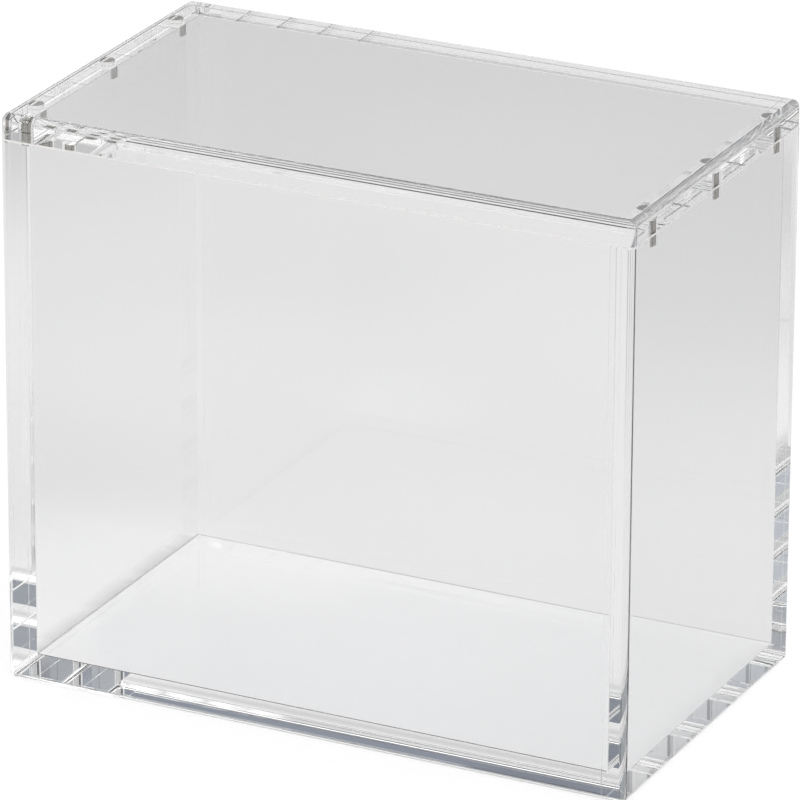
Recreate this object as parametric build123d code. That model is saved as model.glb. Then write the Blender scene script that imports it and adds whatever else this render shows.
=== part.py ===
from build123d import *
import os

os.makedirs("parts", exist_ok=True)

# The closed case stands on z = 0, with its width along X and its depth along Y.
case_width = 208.0
case_depth = 121.5
body_height = 175.5

# Thickness of the clear sheet that each plate is cut from
wall_sheet = 7.5
base_sheet = 7.5
lid_sheet = 8.2

# Polished edges
body_corner_radius = 2.0
lid_round_radius = 2.5
edge_break = 0.3

# Disc magnets, and the pockets that they are glued into
magnet_diameter = 5.0
magnet_height = 4.0
magnet_edge_break = 0.25
magnet_end_distance = 16.0
magnet_recess = 0.1
pocket_clearance = 0.05

# How far a cutting shape runs past the face that it opens
cut_overrun = 1.0

# Places that follow from the sizes above
inner_width = case_width - 2 * wall_sheet
inner_depth = case_depth - 2 * wall_sheet
magnet_line = (case_width - wall_sheet) / 2
magnet_row_reach = case_depth / 2 - magnet_end_distance
pocket_radius = magnet_diameter / 2 + pocket_clearance
pocket_depth = magnet_height + magnet_recess

sides = {"left": -1, "right": 1}
ends = {"front": -1, "back": 1}
rows = {"front": -1, "middle": 0, "back": 1}

on_floor = (Align.CENTER, Align.CENTER, Align.MIN)


def outer_edges(face, side_axis, side, beyond):
    """Edges of one face that lie further out than beyond."""
    return face.edges().filter_by(lambda edge: side * edge.center().dot(side_axis) > beyond)


def pocket(side, row, inward):
    """Flat-bottomed bore for one magnet, from the rim's height up (1) or down (-1)."""
    bore = Cylinder(pocket_radius, pocket_depth + cut_overrun)
    middle = body_height + inward * (pocket_depth - cut_overrun) / 2
    return Pos(side * magnet_line, row * magnet_row_reach, middle) * bore


def side_wall(side):
    """Full-depth, full-height plate, rounded down its corners and round its foot, with three pockets."""
    plate = Box(wall_sheet, case_depth, body_height, align=on_floor)
    plate = Pos(side * magnet_line, 0, 0) * plate
    corners = plate.edges().filter_by(Axis.Z).group_by(Axis.X)[-1 if side > 0 else 0]
    beyond = inner_width / 2 + edge_break
    foot = outer_edges(plate.faces().sort_by(Axis.Z)[0], Vector(1, 0, 0), side, beyond)
    plate = fillet(corners + foot, body_corner_radius)
    rim = outer_edges(plate.faces().sort_by(Axis.Z)[-1], Vector(1, 0, 0), side, beyond)
    plate = chamfer(rim, edge_break)
    for row in rows.values():
        plate -= pocket(side, row, -1)
    return plate


def end_panel(end):
    """Front or back plate, cemented between the side walls and flush with their ends."""
    mid_plane = (case_depth - wall_sheet) / 2
    plate = Box(inner_width, wall_sheet, body_height, align=on_floor)
    plate = Pos(0, end * mid_plane, 0) * plate
    beyond = mid_plane + edge_break
    plate = fillet(outer_edges(plate.faces().sort_by(Axis.Z)[0], Vector(0, 1, 0), end, beyond), body_corner_radius)
    return chamfer(outer_edges(plate.faces().sort_by(Axis.Z)[-1], Vector(0, 1, 0), end, beyond), edge_break)


def base_plate():
    """Floor of the case, cemented inside the four walls and flush with their feet."""
    return Box(inner_width, inner_depth, base_sheet, align=on_floor)


def lid_plate():
    """Loose lid: rounded over along its top and down its corners, with six pockets underneath."""
    plate = Pos(0, 0, body_height) * Box(case_width, case_depth, lid_sheet, align=on_floor)
    upright_edges = plate.edges().filter_by(Axis.Z)
    top_edges = plate.faces().sort_by(Axis.Z)[-1].edges()
    plate = fillet(upright_edges + top_edges, lid_round_radius)
    underside = plate.faces().sort_by(Axis.Z)[0]
    plate = chamfer(underside.edges(), edge_break)
    for side in sides.values():
        for row in rows.values():
            plate -= pocket(side, row, 1)
    return plate


def magnet(side, row, inward):
    """Plated disc magnet, seated on the floor of the pocket that runs the same way."""
    disc = Cylinder(magnet_diameter / 2, magnet_height)
    disc = chamfer(disc.edges().filter_by(GeomType.CIRCLE), magnet_edge_break)
    middle = body_height + inward * (pocket_depth - magnet_height / 2)
    return Pos(side * magnet_line, row * magnet_row_reach, middle) * disc


def save(shape, node):
    """Write one piece under its node's name."""
    shape.label = node
    export_step(shape, f"parts/{node}.step")


for side_name, side in sides.items():
    save(side_wall(side), f"{side_name}_side_wall")
for end_name, end in ends.items():
    save(end_panel(end), f"{end_name}_panel")
save(base_plate(), "base_plate")
save(lid_plate(), "lid_plate")

for side_name, side in sides.items():
    for row_name, row in rows.items():
        place = f"{side_name}_{row_name}"
        save(magnet(side, row, -1), f"wall_magnet_{place}")
        save(magnet(side, row, 1), f"lid_magnet_{place}")
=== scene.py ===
import bpy
import bmesh
import math
from mathutils import Matrix, Vector


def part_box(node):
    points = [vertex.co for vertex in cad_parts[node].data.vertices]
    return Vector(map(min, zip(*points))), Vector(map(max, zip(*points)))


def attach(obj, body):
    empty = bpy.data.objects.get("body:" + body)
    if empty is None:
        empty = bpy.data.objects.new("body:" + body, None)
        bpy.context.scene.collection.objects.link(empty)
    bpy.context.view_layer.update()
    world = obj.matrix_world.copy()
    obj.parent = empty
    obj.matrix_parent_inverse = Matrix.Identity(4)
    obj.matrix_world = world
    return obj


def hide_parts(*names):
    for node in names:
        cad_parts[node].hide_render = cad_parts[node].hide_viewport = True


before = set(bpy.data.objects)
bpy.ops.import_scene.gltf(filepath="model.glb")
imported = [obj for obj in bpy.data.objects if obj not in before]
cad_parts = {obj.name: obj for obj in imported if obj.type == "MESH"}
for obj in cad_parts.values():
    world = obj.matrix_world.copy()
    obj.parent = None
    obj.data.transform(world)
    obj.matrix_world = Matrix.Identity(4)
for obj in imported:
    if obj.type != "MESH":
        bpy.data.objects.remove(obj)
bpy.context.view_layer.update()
print("frame loaded:", len(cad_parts), "nodes")

mm = 0.001
upZ = Vector((0, 0, 1))


# sRGB hex to linear RGBA
def linearColour(hexCode):
    parts = [int(hexCode[i:i + 2], 16) / 255 for i in (1, 3, 5)]
    return [p / 12.92 if p <= 0.04045 else ((p + 0.055) / 1.055) ** 2.4 for p in parts] + [1.0]


def addNode(tree, kind, settings=None, inputs=None, links=None):
    node = tree.nodes.new(kind)
    for name, value in (settings or {}).items():
        setattr(node, name, value)
    for name, value in (inputs or {}).items():
        node.inputs[name].default_value = value
    for name, source in (links or {}).items():
        tree.links.new(source, node.inputs[name])
    return node


# A Mix node's sockets for colours go by number, because their names repeat for each type of data
colourMix = {"data_type": "RGBA"}
mixShare, mixUnder, mixOver, mixed = 0, 6, 7, 2


def newMaterial(name):
    material = bpy.data.materials.new(name)
    material.use_nodes = True
    material.node_tree.nodes.clear()
    return material, material.node_tree


# A long lens looks down on the front right corner
shot = {
    "azimuth": 26.148, "elevation": 21.695, "roll": 0.00471,  # degrees, but the roll is in radians
    "distance": 2184.0, "target": (5.302, -11.349, 93.876),
    "focalShare": 7228.6 / 800,  # focal length over the picture's width
    "sensor": 36.0, "nearest": 0.1, "farthest": 50.0,
}


def placeCamera():
    turn, rise = math.radians(shot["azimuth"]), math.radians(shot["elevation"])
    back = Vector((math.sin(turn) * math.cos(rise), -math.cos(turn) * math.cos(rise), math.sin(rise)))
    level = (-back).cross(upZ).normalized()
    upright = back.cross(level)
    right = math.cos(shot["roll"]) * level + math.sin(shot["roll"]) * upright
    up = math.cos(shot["roll"]) * upright - math.sin(shot["roll"]) * level
    lens = bpy.data.cameras.new("photoCamera")
    lens.sensor_width = shot["sensor"]
    lens.lens = shot["sensor"] * shot["focalShare"]
    lens.clip_start, lens.clip_end = shot["nearest"], shot["farthest"]
    camera = bpy.data.objects.new("photoCamera", lens)
    bpy.context.scene.collection.objects.link(camera)
    place = (Vector(shot["target"]) + shot["distance"] * back) * mm
    camera.matrix_world = Matrix.Translation(place) @ Matrix((right, up, back)).transposed().to_4x4()
    bpy.context.scene.camera = camera


placeCamera()
print("camera placed")

plasticIor = 1.49

# Cast acrylic sheet with flame-clear polish: the eye gets see-through plates, sharp mirror images
# of the studio in every face and bright lines where light is piped out at the edges
polished = {"name": "cast_acrylic_polished", "tint": "#FAFAFA", "roughness": 0.0, "clear": 1.0}

# Painted shade on the cement bead in the front floor joint: a hazy dark grey that the eye gets as a thin
# grey thread along that joint
shadedBeadFinish = {"name": "cement_bead_painted_shade", "tint": "#5E5C59", "roughness": 0.4, "clear": 0.3}

# Arris scraped by hand and left unpolished: its haze catches the light as a fine pale line
# along the seam
scraped = {"name": "cast_acrylic_scraped", "tint": "#FFFDFB", "roughness": 0.45, "clear": 0.3}


def plastic(finish):
    material, tree = newMaterial(finish["name"])
    shader = addNode(tree, "ShaderNodeBsdfPrincipled", inputs={
        "Base Color": linearColour(finish["tint"]), "IOR": plasticIor,
        "Roughness": finish["roughness"], "Transmission Weight": finish["clear"]})
    addNode(tree, "ShaderNodeOutputMaterial", links={"Surface": shader.outputs[0]})
    return material


# Solvent cement between two sheets: it melts them into one, so the eye gets no face there at all
def solventCement():
    material, tree = newMaterial("solvent_cement_joint")
    shader = addNode(tree, "ShaderNodeBsdfPrincipled", inputs={
        "Base Color": (1, 1, 1, 1), "IOR": plasticIor, "Roughness": 0.0, "Alpha": 0.0})
    addNode(tree, "ShaderNodeOutputMaterial", links={"Surface": shader.outputs[0]})
    return material


plating = {
    "colour": "#ABA8A3", "roughness": 0.05,
    "grainMm": 0.4, "grainDetail": 3.0, "grainDepthMm": 0.001,
}


# Bright nickel plate over a sintered magnet: warm grey metal that streaks light and dark round
# its side, with a faint orange peel from the sintered core
def nickelPlate():
    material, tree = newMaterial("nickel_plated_magnet")
    place = addNode(tree, "ShaderNodeTexCoord")
    grain = addNode(tree, "ShaderNodeTexNoise", inputs={
        "Scale": 1 / (plating["grainMm"] * mm), "Detail": plating["grainDetail"]},
        links={"Vector": place.outputs["Object"]})
    bump = addNode(tree, "ShaderNodeBump", inputs={"Distance": plating["grainDepthMm"] * mm},
                   links={"Height": grain.outputs["Fac"]})
    shader = addNode(tree, "ShaderNodeBsdfPrincipled", inputs={
        "Base Color": linearColour(plating["colour"]), "Metallic": 1.0,
        "Roughness": plating["roughness"]}, links={"Normal": bump.outputs["Normal"]})
    addNode(tree, "ShaderNodeOutputMaterial", links={"Surface": shader.outputs[0]})
    return material


clearSheet, cementFace, shadedBead = plastic(polished), solventCement(), plastic(shadedBeadFinish)
hazyArris, nickel = plastic(scraped), nickelPlate()
print("materials made")

case = {  # mm
    "width": 208.0, "depth": 121.5, "bodyHeight": 175.5,
    "wall": 7.5, "base": 7.5, "lid": 8.2,
    "cornerRadius": 2.0, "lidRadius": 2.5, "arris": 0.3,
    "cementGap": 0.01,  # cement line between two sheets
    "groove": 0.1,      # tiny bevel that shows each joint as a hairline on the outside
    "bead": 0.4,        # cement squeezed out into the inner corners
    "beadLift": 0.004,  # keeps a bead's back off the plates
    "coveShare": 0.97,  # radius of a bead's hollow over its width
    "seatGap": 0.03,    # half the air film between rim and lid
    "arcSteps": 16, "bevelSteps": 1, "creaseAngle": 30,
    "areaWeight": 100,  # the larger face decides the normals
}
pockets = {"diameter": 5.1, "depth": 4.1, "rows": (-44.75, 0.0, 44.75), "reach": 100.25, "facets": 64}

halfWidth, halfDepth = case["width"] / 2, case["depth"] / 2
innerX, innerY = halfWidth - case["wall"], halfDepth - case["wall"]
rim, seat = case["bodyHeight"] - case["seatGap"], case["bodyHeight"] + case["seatGap"]
overrun = 1.0   # how far a cutter runs past the face that it opens
near = 0.05     # edges and faces count as lying on a plane when they are this close to it
cutSnap = 1e-7  # in m: corners this close to a cutting plane lie on it
along = 0.9     # a run or a normal with more than this share of an axis lies along it
across = 0.1    # and with less than this, across it
flat = 0.99     # share of an axis in the normal of a flat face, without its rounded edges
slanted = 0.5   # least share of the upright in the normal of an arris


# Box mesh between two corners in mm
def slab(low, high):
    bm = bmesh.new()
    bmesh.ops.create_cube(bm, size=1.0)
    low, high = Vector(low) * mm, Vector(high) * mm
    bmesh.ops.scale(bm, vec=high - low, verts=bm.verts)
    bmesh.ops.translate(bm, vec=(low + high) / 2, verts=bm.verts)
    return bm


# Round bar in mm, along the run
def bar(bm, middle, run, radius, length, facets):
    turn = upZ.rotation_difference(Vector(run)).to_matrix().to_4x4()
    bmesh.ops.create_cone(bm, cap_ends=True, segments=facets, radius1=radius * mm, radius2=radius * mm,
                          depth=length * mm, matrix=Matrix.Translation(Vector(middle) * mm) @ turn)


# Rolls a radius along the edges whose middle (mm) and direction pass the test
def roundEdges(bm, test, radius, steps):
    edges = []
    for edge in bm.edges:
        start, end = (v.co for v in edge.verts)
        if test((start + end) / 2 / mm, (end - start).normalized()):
            edges.append(edge)
    bmesh.ops.bevel(bm, geom=edges, offset=radius * mm, offset_type="OFFSET", segments=steps,
                    profile=0.5, affect="EDGES", material=-1, clamp_overlap=True)


def cutAcross(bm, point, normal):
    bmesh.ops.bisect_plane(bm, geom=bm.verts[:] + bm.edges[:] + bm.faces[:], dist=cutSnap,
                           plane_co=Vector(point) * mm, plane_no=normal)


def meshObject(bm, name, materials):
    for face in bm.faces:
        face.smooth = True
    mesh = bpy.data.meshes.new(name)
    bm.to_mesh(mesh)
    bm.free()
    for material in materials:
        mesh.materials.append(material)
    piece = bpy.data.objects.new(name, mesh)
    bpy.context.scene.collection.objects.link(piece)
    return piece


# The faces that the cutter leaves take the cutter's own material
def cutOut(piece, cutter):
    cut = piece.modifiers.new("cut", "BOOLEAN")
    cut.object, cut.operation, cut.solver = cutter, "DIFFERENCE", "EXACT"
    cut.material_mode = "TRANSFER"
    bpy.context.view_layer.update()
    shaped = piece.evaluated_get(bpy.context.evaluated_depsgraph_get())
    piece.data = bpy.data.meshes.new_from_object(shaped)
    piece.modifiers.clear()
    piece.data.name = piece.name
    bpy.data.objects.remove(cutter)


# Flats keep one normal, so that only the rounded edges bend what is seen through them
def evenFlats(piece):
    piece.data.set_sharp_from_angle(angle=math.radians(case["creaseAngle"]))
    flats = piece.modifiers.new("flats", "WEIGHTED_NORMAL")
    flats.weight, flats.keep_sharp = case["areaWeight"], True


# Cemented faces vanish, the arrises along the seam are hazy, and the rest is polished
def clearPiece(bm, name, body, cemented, cutter=None):
    bm.normal_update()
    for face in bm.faces:
        middle, normal = face.calc_center_median() / mm, face.normal
        atSeam = abs(middle.z - case["bodyHeight"]) < case["arris"]
        isArris = atSeam and slanted < abs(normal.z) < along
        face.material_index = 1 if cemented(middle, normal) else 2 if isArris else 0
    piece = meshObject(bm, name, (clearSheet, cementFace, hazyArris))
    if cutter:
        cutOut(piece, cutter)
    evenFlats(piece)
    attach(piece, body)
    return piece


# Bars that bore the magnet pockets, from the plane z into the plate
def pocketCutter(sides, z, inward):
    bm = bmesh.new()
    middle = z + inward * (pockets["depth"] - overrun) / 2
    for side in sides:
        for y in pockets["rows"]:
            bar(bm, (side * pockets["reach"], y, middle), upZ, pockets["diameter"] / 2,
                pockets["depth"] + overrun, pockets["facets"])
    return meshObject(bm, "pocketCutter", (clearSheet,))


def sideWall(side, node):
    low, high = sorted((side * halfWidth, side * innerX))
    bm = slab((low, -halfDepth, 0), (high, halfDepth, rim))
    roundEdges(bm, lambda m, run: side * m.x > innerX + near and (abs(run.z) > along or m.z < near),
               case["cornerRadius"], case["arcSteps"])
    roundEdges(bm, lambda m, run: side * m.x > innerX + near and m.z > rim - near,
               case["arris"], case["bevelSteps"])
    roundEdges(bm, lambda m, run: abs(side * m.x - innerX) < near, case["groove"], case["bevelSteps"])
    for end in (-1, 1):
        cutAcross(bm, (0, end * (innerY - case["bead"]), 0), (0, 1, 0))
    cutAcross(bm, (0, 0, case["base"] + case["bead"]), (0, 0, 1))

    def cemented(m, n):
        return side * n.x < -flat and (
            abs(m.y) > innerY - case["bead"] or m.z < case["base"] + case["bead"])

    wall = clearPiece(bm, f"acrylic_{node}", "box", cemented, pocketCutter((side,), rim, -1))
    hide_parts(node)


def endPanel(end, node):
    low, high = sorted((end * halfDepth, end * innerY))
    bm = slab((-innerX + case["cementGap"], low, 0), (innerX - case["cementGap"], high, rim))
    roundEdges(bm, lambda m, run: abs(run.x) > along and end * m.y > innerY + near and m.z < near,
               case["cornerRadius"], case["arcSteps"])
    roundEdges(bm, lambda m, run: abs(run.x) > along and end * m.y > innerY + near and m.z > rim - near,
               case["arris"], case["bevelSteps"])
    roundEdges(bm, lambda m, run: (abs(m.x) > innerX - near and (
        end * m.y > innerY + near or m.z < near or m.z > rim - near)), case["groove"], case["bevelSteps"])
    roundEdges(bm, lambda m, run: m.z < near and end * m.y < innerY + near,
               case["groove"], case["bevelSteps"])
    for side in (-1, 1):
        cutAcross(bm, (side * (innerX - case["bead"]), 0, 0), (1, 0, 0))
    cutAcross(bm, (0, 0, case["base"] + case["bead"]), (0, 0, 1))

    def cemented(m, n):
        return abs(n.x) > flat or (end * n.y < -flat and (
            m.z < case["base"] + case["bead"] or abs(m.x) > innerX - case["bead"]))

    panel = clearPiece(bm, f"acrylic_{node}", "box", cemented)
    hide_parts(node)


def basePlate(node):
    reachX, reachY = innerX - case["cementGap"], innerY - case["cementGap"]
    bm = slab((-reachX, -reachY, 0), (reachX, reachY, case["base"]))
    roundEdges(bm, lambda m, run: m.z < near, case["groove"], case["bevelSteps"])
    for sign in (-1, 1):
        cutAcross(bm, (sign * (innerX - case["bead"]), 0, 0), (1, 0, 0))
        cutAcross(bm, (0, sign * (innerY - case["bead"]), 0), (0, 1, 0))

    def cemented(m, n):
        return abs(n.z) < across or (n.z > along and (
            abs(m.x) > innerX - case["bead"] or abs(m.y) > innerY - case["bead"]))

    plate = clearPiece(bm, f"acrylic_{node}", "box", cemented)
    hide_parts(node)


def lidPlate(node):
    top = case["bodyHeight"] + case["lid"]
    bm = slab((-halfWidth, -halfDepth, seat), (halfWidth, halfDepth, top))
    roundEdges(bm, lambda m, run: abs(run.z) > along or m.z > top - near,
               case["lidRadius"], case["arcSteps"])
    roundEdges(bm, lambda m, run: m.z < seat + near, case["arris"], case["bevelSteps"])
    lid = clearPiece(bm, f"acrylic_{node}", "lid", lambda m, n: False, pocketCutter((-1, 1), seat, 1))
    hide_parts(node)


for side, name in ((-1, "left"), (1, "right")):
    sideWall(side, f"{name}_side_wall")
for end, name in ((-1, "front"), (1, "back")):
    endPanel(end, f"{name}_panel")
basePlate("base_plate")
lidPlate("lid_plate")
print("plates made")


# Cement along an inner corner: a square strip from start to finish, hollowed to a cove by a bar.
# Inward holds the two directions that lead from the corner into the case
def cementBead(name, start, finish, inward, cove=clearSheet):
    start, finish = Vector(start), Vector(finish)
    off = Vector(inward[0]) + Vector(inward[1])
    corners = (start + off * case["beadLift"], finish + off * case["bead"])
    low = [min(pair) for pair in zip(*corners)]
    high = [max(pair) for pair in zip(*corners)]
    bm = slab(low, high)
    hollow = bmesh.new()
    bar(hollow, (start + finish) / 2 + off * case["bead"], (finish - start).normalized(),
        case["bead"] * case["coveShare"], (finish - start).length + 2 * overrun, pockets["facets"])

    def cemented(m, n):
        return min(n.dot(Vector(way)) for way in inward) < -along

    clearPiece(bm, name, "box", cemented, meshObject(hollow, "coveCutter", (cove,)))


foot, inset = case["base"] + case["bead"], case["bead"]
for endY, endName in ((-1, "front"), (1, "back")):
    for sideX, sideName in ((-1, "left"), (1, "right")):
        cementBead(f"cement_corner_{endName}_{sideName}", (sideX * innerX, endY * innerY, foot),
                   (sideX * innerX, endY * innerY, rim), ((-sideX, 0, 0), (0, -endY, 0)))
    # the front floor bead's hollow takes the painted shade, and the other beads stay clear
    cementBead(f"cement_floor_{endName}", (-innerX + inset, endY * innerY, case["base"]),
               (innerX - inset, endY * innerY, case["base"]), ((0, -endY, 0), (0, 0, 1)),
               shadedBead if endName == "front" else clearSheet)
for sideX, sideName in ((-1, "left"), (1, "right")):
    cementBead(f"cement_floor_{sideName}", (sideX * innerX, -innerY + inset, case["base"]),
               (sideX * innerX, innerY - inset, case["base"]), ((-sideX, 0, 0), (0, 0, 1)))
print("cement beads made")

disc = {"radius": 2.5, "height": 4.0, "edgeRadius": 0.25, "facets": 96, "edgeSteps": 6}


def magnetDisc(node, body):
    low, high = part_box(node)
    bm = bmesh.new()
    bar(bm, (low + high) / 2 / mm, upZ, disc["radius"], disc["height"], disc["facets"])
    roundEdges(bm, lambda m, run: abs(run.z) < across, disc["edgeRadius"], disc["edgeSteps"])
    magnet = meshObject(bm, f"nickel_{node}", (nickel,))
    evenFlats(magnet)
    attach(magnet, body)
    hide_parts(node)


for node in sorted(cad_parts):
    if "magnet" in node:
        magnetDisc(node, "lid" if node.startswith("lid") else "box")
print("magnets made")

# For the plastic the paper carries painted light: a glow that fades with reach, and pools of painted
# light and shade
paper = {
    "size": 12.0, "drop": 0.2,  # m across, and mm below the case's foot
    "colour": "#808080", "whiteGlow": 0.85,
    "fall": ((0.0, 0.70), (0.2, 0.66), (0.5, 0.63), (1.2, 0.50)),  # reach in m, glow for the plastic
}
pools = (  # lit and shaded places on the paper: middle in m, radius, softness, glow
    (-0.02, -0.19, 0.10, 0.07, (1.20, 1.20, 1.20)),
    (-0.165, -0.30, 0.06, 0.05, (1.00, 1.00, 1.00)),
    (-0.215, -0.19, 0.06, 0.05, (0.48, 0.48, 0.48)),
    (-0.095, -0.095, 0.03, 0.02, (1.20, 1.20, 1.20)),
    (0.32, 0.42, 0.20, 0.12, (0.18, 0.18, 0.19)),
    (-0.12, 0.01, 0.06, 0.04, (0.80, 0.80, 0.80)),
)
# Painted shade and light round the foot: where each fades out from and to, as shares of the case's half
# width and half depth, how strong it is, and its glow
footRings = (
    (1.0, 1.14, 0.7, (0.12, 0.12, 0.12)),   # shade along the foot
    (0.97, 1.03, 1.0, (0.93, 0.93, 0.93)),  # under the base, where the plates pipe light down
)


# Matt white paper. The camera gets it pure white, and the plastic gets a sheet with a painted glow and
# soft pools of painted light and shade
def paperSheet():
    material, tree = newMaterial("floor_paper")
    path = addNode(tree, "ShaderNodeLightPath")
    place = addNode(tree, "ShaderNodeTexCoord").outputs["Object"]
    reach = addNode(tree, "ShaderNodeVectorMath", {"operation": "LENGTH"}, links={0: place})
    farthest = paper["fall"][-1][0]
    fraction = addNode(tree, "ShaderNodeMath", {"operation": "DIVIDE"}, {1: farthest},
                       {0: reach.outputs["Value"]})
    fall = addNode(tree, "ShaderNodeValToRGB", links={"Fac": fraction.outputs[0]})
    stops = fall.color_ramp.elements
    ready = len(stops)  # a new ramp comes with stops of its own
    for k, (distance, glow) in enumerate(paper["fall"]):
        stop = stops[k] if k < ready else stops.new(distance / farthest)
        stop.position, stop.color = distance / farthest, (glow, glow, glow, 1)
    level = fall.outputs["Color"]

    patches = []
    for x, y, radius, softness, glow in pools:
        away = addNode(tree, "ShaderNodeVectorMath", {"operation": "DISTANCE"}, {1: (x, y, 0)},
                       {0: place})
        patches.append((away.outputs["Value"], radius - softness, radius + softness, 1.0, glow))
    # how far out the place lies as a share of the case's half width and half depth
    spread = addNode(tree, "ShaderNodeVectorMath", {"operation": "MULTIPLY"}, {
        1: (1 / (halfWidth * mm), 1 / (halfDepth * mm), 0)}, {0: place})
    unsigned = addNode(tree, "ShaderNodeVectorMath", {"operation": "ABSOLUTE"},
                       links={0: spread.outputs[0]})
    sides = addNode(tree, "ShaderNodeSeparateXYZ", links={0: unsigned.outputs[0]})
    outermost = addNode(tree, "ShaderNodeMath", {"operation": "MAXIMUM"}, links={
        0: sides.outputs[0], 1: sides.outputs[1]})
    for ring in footRings:
        patches.append((outermost.outputs[0], *ring))

    # each patch lies over those before it and fades out from its start to its end
    for distance, start, end, most, glow in patches:
        share = addNode(tree, "ShaderNodeMapRange", {"interpolation_type": "SMOOTHSTEP"}, {
            "From Min": start, "From Max": end, "To Min": most, "To Max": 0.0}, {"Value": distance})
        level = addNode(tree, "ShaderNodeMix", colourMix, {mixOver: (*glow, 1)}, {
            mixShare: share.outputs["Result"], mixUnder: level}).outputs[mixed]
    white = [paper["whiteGlow"]] * 3
    tone = addNode(tree, "ShaderNodeMix", colourMix, {mixOver: (*white, 1)}, {
        mixShare: path.outputs["Is Camera Ray"], mixUnder: level})
    light = addNode(tree, "ShaderNodeEmission", links={"Color": tone.outputs[mixed]})
    matt = addNode(tree, "ShaderNodeBsdfDiffuse", inputs={"Color": linearColour(paper["colour"])})
    both = addNode(tree, "ShaderNodeAddShader", links={0: light.outputs[0], 1: matt.outputs[0]})
    # the sheet has one face, so that the case can be seen from below
    face = addNode(tree, "ShaderNodeNewGeometry").outputs["Backfacing"]
    nothing = addNode(tree, "ShaderNodeBsdfTransparent")
    sheet = addNode(tree, "ShaderNodeMixShader", links={
        0: face, 1: both.outputs[0], 2: nothing.outputs[0]})
    addNode(tree, "ShaderNodeOutputMaterial", links={"Surface": sheet.outputs[0]})
    return material


bm = bmesh.new()
bmesh.ops.create_grid(bm, x_segments=1, y_segments=1, size=paper["size"] / 2)
bmesh.ops.translate(bm, vec=(0, 0, -paper["drop"] * mm), verts=bm.verts)
floor = meshObject(bm, "floor", (paperSheet(),))

# A white studio, palest at the horizon and overhead, with soft boxes and grey cards that only the
# plastic and the metal show
studio = {
    "horizon": 1.2, "walls": 0.72, "overhead": 1.08,
    "wallsAt": 25, "overheadFrom": 25, "overheadAt": 70,
}
cards = (  # azimuth, elevation, half width, half height, softness in degrees, strength, tint
    (-52, 46, 24, 14, 2.0, 2.15, "#FFFFFF"),  # key soft box, high on the right of the camera
    (117, 33, 16, 4.2, 1.9, 1.90, "#FFFFFF"),  # pale strips behind
    (110, 12.5, 10, 2.8, 1.7, 1.74, "#FFFFFF"),
    (67, 8.6, 10, 9.4, 2.0, 1.52, "#FFFFFF"),
    (130, 49.7, 18, 12.4, 1.6, 0.08, "#EEF6FF"),  # unlit room above and below the strips
    (118, 28.0, 3.5, 1.8, 0.2, 0.01, "#EEF6FF"),
    (131, 15, 9, 11, 1.5, 0.08, "#EEF6FF"),
    (121, 24.5, 1.2, 0.5, 0.2, 0.05, "#DCE9FF"),
    (114.3, 24.1, 2.2, 0.9, 0.3, 0.25, "#DCE9FF"),
    (117.2, 24.1, 1.7, 0.9, 0.3, 0.30, "#DCE9FF"),
    (119.9, 23.6, 0.9, 0.7, 0.3, 0.17, "#DCE9FF"),
    (115, 19, 4.5, 3.6, 2.3, 0.47, "#FFFFFF"),
    (113, 6.5, 10, 3.3, 1.7, 0.02, "#EEF6FF"),
    (145, 27, 20, 13, 1.6, 0.34, "#F2F8FF"),  # grey cards round the sides
    (-157, 36, 18, 25, 2.0, 0.52, "#F6FAFF"),
    (-130, 44, 12, 8.4, 2.1, 0.02, "#EEF6FF"),
    (-112.7, 22.6, 2.1, 1.6, 0.9, 0.50, "#ECF4FF"),
    (60, 22.8, 1.9, 1.5, 0.8, 0.36, "#ECF4FF"),
    (92, 24.6, 10.7, 1.9, 1.2, 0.15, "#EEF6FF"),
    (-35, 24.5, 17.2, 1.9, 1.2, 0.14, "#EEF6FF"),
    (80, 36, 12, 3.4, 2.0, 0.02, "#EEF6FF"),
)


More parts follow.
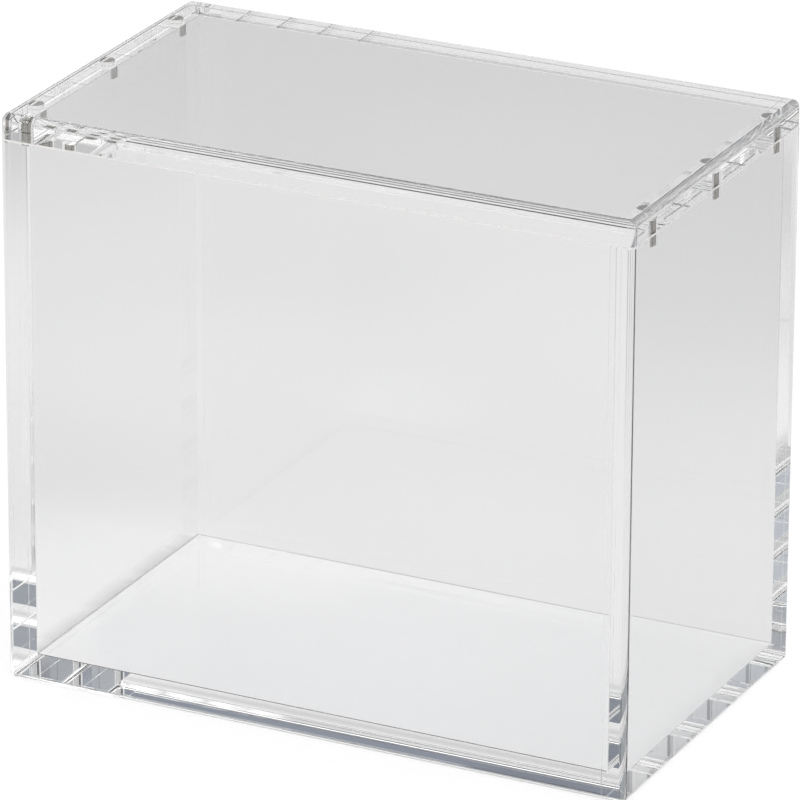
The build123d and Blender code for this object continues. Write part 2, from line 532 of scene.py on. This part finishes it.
def studioRoom():
    world = bpy.data.worlds.new("studio")
    bpy.context.scene.world = world
    world.use_nodes = True
    tree = world.node_tree
    tree.nodes.clear()

    path = addNode(tree, "ShaderNodeLightPath")
    place = addNode(tree, "ShaderNodeTexCoord")
    parts = addNode(tree, "ShaderNodeSeparateXYZ", links={"Vector": place.outputs["Generated"]})
    turned = addNode(tree, "ShaderNodeMath", {"operation": "ARCTAN2"}, links={
        0: parts.outputs["Y"], 1: parts.outputs["X"]})
    tilted = addNode(tree, "ShaderNodeMath", {"operation": "ARCSINE"}, links={0: parts.outputs["Z"]})
    around, rise = (addNode(tree, "ShaderNodeMath", {"operation": "DEGREES"}, links={
        0: node.outputs[0]}).outputs[0] for node in (turned, tilted))

    lower = addNode(tree, "ShaderNodeMapRange", inputs={
        "From Min": 0.0, "From Max": studio["wallsAt"], "To Min": studio["horizon"],
        "To Max": studio["walls"]}, links={"Value": rise})
    extra = addNode(tree, "ShaderNodeMapRange", {"interpolation_type": "SMOOTHSTEP"}, {
        "From Min": studio["overheadFrom"], "From Max": studio["overheadAt"], "To Min": 0.0,
        "To Max": studio["overhead"] - studio["walls"]}, {"Value": rise})
    level = addNode(tree, "ShaderNodeMath", {"operation": "ADD"}, links={
        0: lower.outputs["Result"], 1: extra.outputs["Result"]})
    room = addNode(tree, "ShaderNodeCombineXYZ", links={k: level.outputs[0] for k in range(3)}).outputs[0]

    for turn, lift, halfWide, halfHigh, softness, strength, tint in cards:
        shares = {}
        for k, (angle, middle, half) in enumerate(((around, turn, halfWide), (rise, lift, halfHigh))):
            off = addNode(tree, "ShaderNodeMath", {"operation": "SUBTRACT"}, {1: middle}, {0: angle})
            shortWay = addNode(tree, "ShaderNodeMath", {"operation": "WRAP"}, {1: 180.0, 2: -180.0}, {
                0: off.outputs[0]})
            apart = addNode(tree, "ShaderNodeMath", {"operation": "ABSOLUTE"}, links={
                0: shortWay.outputs[0]})
            shares[k] = addNode(tree, "ShaderNodeMapRange", {"interpolation_type": "SMOOTHSTEP"}, {
                "From Min": half - softness, "From Max": half + softness, "To Min": 1.0, "To Max": 0.0},
                {"Value": apart.outputs[0]}).outputs["Result"]
        share = addNode(tree, "ShaderNodeMath", {"operation": "MULTIPLY"}, links=shares)
        colour = [strength * part for part in linearColour(tint)[:3]]
        room = addNode(tree, "ShaderNodeMix", colourMix, {mixOver: (*colour, 1)}, {
            mixShare: share.outputs[0], mixUnder: room}).outputs[mixed]
    white = addNode(tree, "ShaderNodeMix", colourMix, {mixOver: (1, 1, 1, 1)}, {
        mixShare: path.outputs["Is Camera Ray"], mixUnder: room})
    glow = addNode(tree, "ShaderNodeBackground", links={"Color": white.outputs[mixed]})
    addNode(tree, "ShaderNodeOutputWorld", links={"Surface": glow.outputs[0]})


studioRoom()
bounces = {"plates": 48, "cement": 64}  # light is piped a long way round inside the case
scene = bpy.context.scene
scene.view_settings.view_transform = "Standard"
scene.cycles.max_bounces = bounces["plates"]
scene.cycles.transmission_bounces = scene.cycles.glossy_bounces = bounces["plates"]
scene.cycles.transparent_max_bounces = bounces["cement"]
print("stage set")
